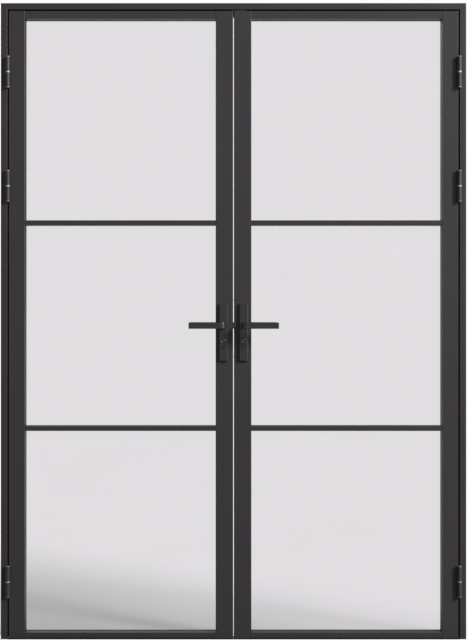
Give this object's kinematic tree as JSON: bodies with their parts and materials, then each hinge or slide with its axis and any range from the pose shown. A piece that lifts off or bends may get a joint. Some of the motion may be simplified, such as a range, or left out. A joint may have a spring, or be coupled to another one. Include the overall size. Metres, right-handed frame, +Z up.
{
  "type": "french doors",
  "caption": "Glazed steel double doors in a slim frame, each leaf with stacked clear panes, barrel hinges and a bent lever handle on a narrow backplate.",
  "frame": {"origin": "on the floor at mid-width, in the mid-plane of the closed leaves", "axes": "+X to the right seen from the front, -Y the front, towards which the leaves open, +Z up"},
  "size_m": [1.5, 0.16, 2.05],
  "materials": {
    "frame_coat": "fine matt powder coat, anthracite",
    "leaf_coat": "fine matt powder coat, anthracite",
    "handle_coat": "satin black coat",
    "hinge_coat": "satin black coat",
    "bright_steel": "turned stainless steel",
    "lock_steel": "satin steel",
    "dark_nickel": "dark nickel plate",
    "clear_glass": "clear float glass",
    "seal_rubber": "matt black rubber"
  },
  "bodies": {
    "frame": {"left_jamb": "frame_coat", "right_jamb": "frame_coat", "head": "frame_coat", "frame_seals": "seal_rubber", "head_keep": "lock_steel", "hinge_jamb_flaps": "hinge_coat", "hinge_pins": "bright_steel", "hinge_washers": "bright_steel"},
    "left_leaf": {"left_hinge_stile": "leaf_coat", "left_lock_stile": "leaf_coat", "left_top_rail": "leaf_coat", "left_bottom_rail": "leaf_coat", "left_upper_bar": "leaf_coat", "left_lower_bar": "leaf_coat", "left_upper_pane": "clear_glass", "left_middle_pane": "clear_glass", "left_lower_pane": "clear_glass", "left_beads": "leaf_coat", "left_gaskets": "seal_rubber", "left_hinge_flaps": "hinge_coat", "left_front_plate": "handle_coat", "left_rear_plate": "handle_coat", "left_plate_bolts": "lock_steel", "left_cylinder": "dark_nickel", "left_lock_case": "lock_steel", "left_faceplate": "lock_steel"},
    "left_lever": {"left_front_lever": "handle_coat", "left_rear_lever": "handle_coat", "left_spindle": "lock_steel", "left_follower": "lock_steel"},
    "left_plug": {"left_plug": "handle_coat"},
    "right_leaf": {"right_hinge_stile": "leaf_coat", "right_lock_stile": "leaf_coat", "right_top_rail": "leaf_coat", "right_bottom_rail": "leaf_coat", "right_upper_bar": "leaf_coat", "right_lower_bar": "leaf_coat", "right_upper_pane": "clear_glass", "right_middle_pane": "clear_glass", "right_lower_pane": "clear_glass", "right_beads": "leaf_coat", "right_gaskets": "seal_rubber", "right_hinge_flaps": "hinge_coat", "right_front_plate": "handle_coat", "right_rear_plate": "handle_coat", "right_plate_bolts": "lock_steel", "right_cylinder": "dark_nickel", "right_gear_case": "lock_steel", "right_strike_plate": "lock_steel"},
    "right_lever": {"right_front_lever": "handle_coat", "right_rear_lever": "handle_coat", "right_spindle": "lock_steel", "right_follower": "lock_steel"},
    "right_plug": {"right_plug": "handle_coat"},
    "left_latch": {"left_latch": "lock_steel"},
    "left_deadbolt": {"left_deadbolt": "lock_steel"},
    "right_top_bolt": {"right_shoot_bolt": "lock_steel"}
  },
  "joints": [
    {"name": "left_leaf_swing", "type": "hinge", "parent": "frame", "child": "left_leaf", "pos_m": [-0.72675, -0.0275, 1], "axis": [0, 0, -1], "range_deg": [0, 165]},
    {"name": "left_lever_turn", "type": "hinge", "parent": "left_leaf", "child": "left_lever", "pos_m": [-0.0325, 0, 1.011], "axis": [0, -1, 0], "range_deg": [0, 45], "stiffness_Nm_per_rad": 1.5, "springref_deg": -34.38},
    {"name": "left_plug_turn", "type": "hinge", "parent": "left_leaf", "child": "left_plug", "pos_m": [-0.0325, 0, 0.962], "axis": [0, -1, 0], "range_deg": [0, 360]},
    {"name": "right_leaf_swing", "type": "hinge", "parent": "frame", "child": "right_leaf", "pos_m": [0.72675, -0.0275, 1], "axis": [0, 0, 1], "range_deg": [0, 165]},
    {"name": "right_lever_turn", "type": "hinge", "parent": "right_leaf", "child": "right_lever", "pos_m": [0.0325, 0, 1.011], "axis": [0, 1, 0], "range_deg": [0, 45], "stiffness_Nm_per_rad": 1.5, "springref_deg": -34.38},
    {"name": "right_plug_turn", "type": "hinge", "parent": "right_leaf", "child": "right_plug", "pos_m": [0.0325, 0, 0.962], "axis": [0, 1, 0], "range_deg": [0, 360]},
    {"name": "left_latch_slide", "type": "slide", "parent": "left_leaf", "child": "left_latch", "axis": [-1, 0, 0], "range_m": [0, 0.012]},
    {"name": "left_deadbolt_slide", "type": "slide", "parent": "left_leaf", "child": "left_deadbolt", "axis": [1, 0, 0], "range_m": [0, 0.012]},
    {"name": "right_bolt_slide", "type": "slide", "parent": "right_leaf", "child": "right_top_bolt", "axis": [0, 0, -1], "range_m": [0, 0.016]}
  ],
  "couplings": [
    {"joint": "left_latch_slide", "follows": "left_lever_turn", "m_per_rad": 0.0152},
    {"joint": "left_plug_turn", "follows": "left_deadbolt_slide", "rad_per_m": 523},
    {"joint": "right_bolt_slide", "follows": "right_lever_turn", "m_per_rad": 0.0203}
  ]
}
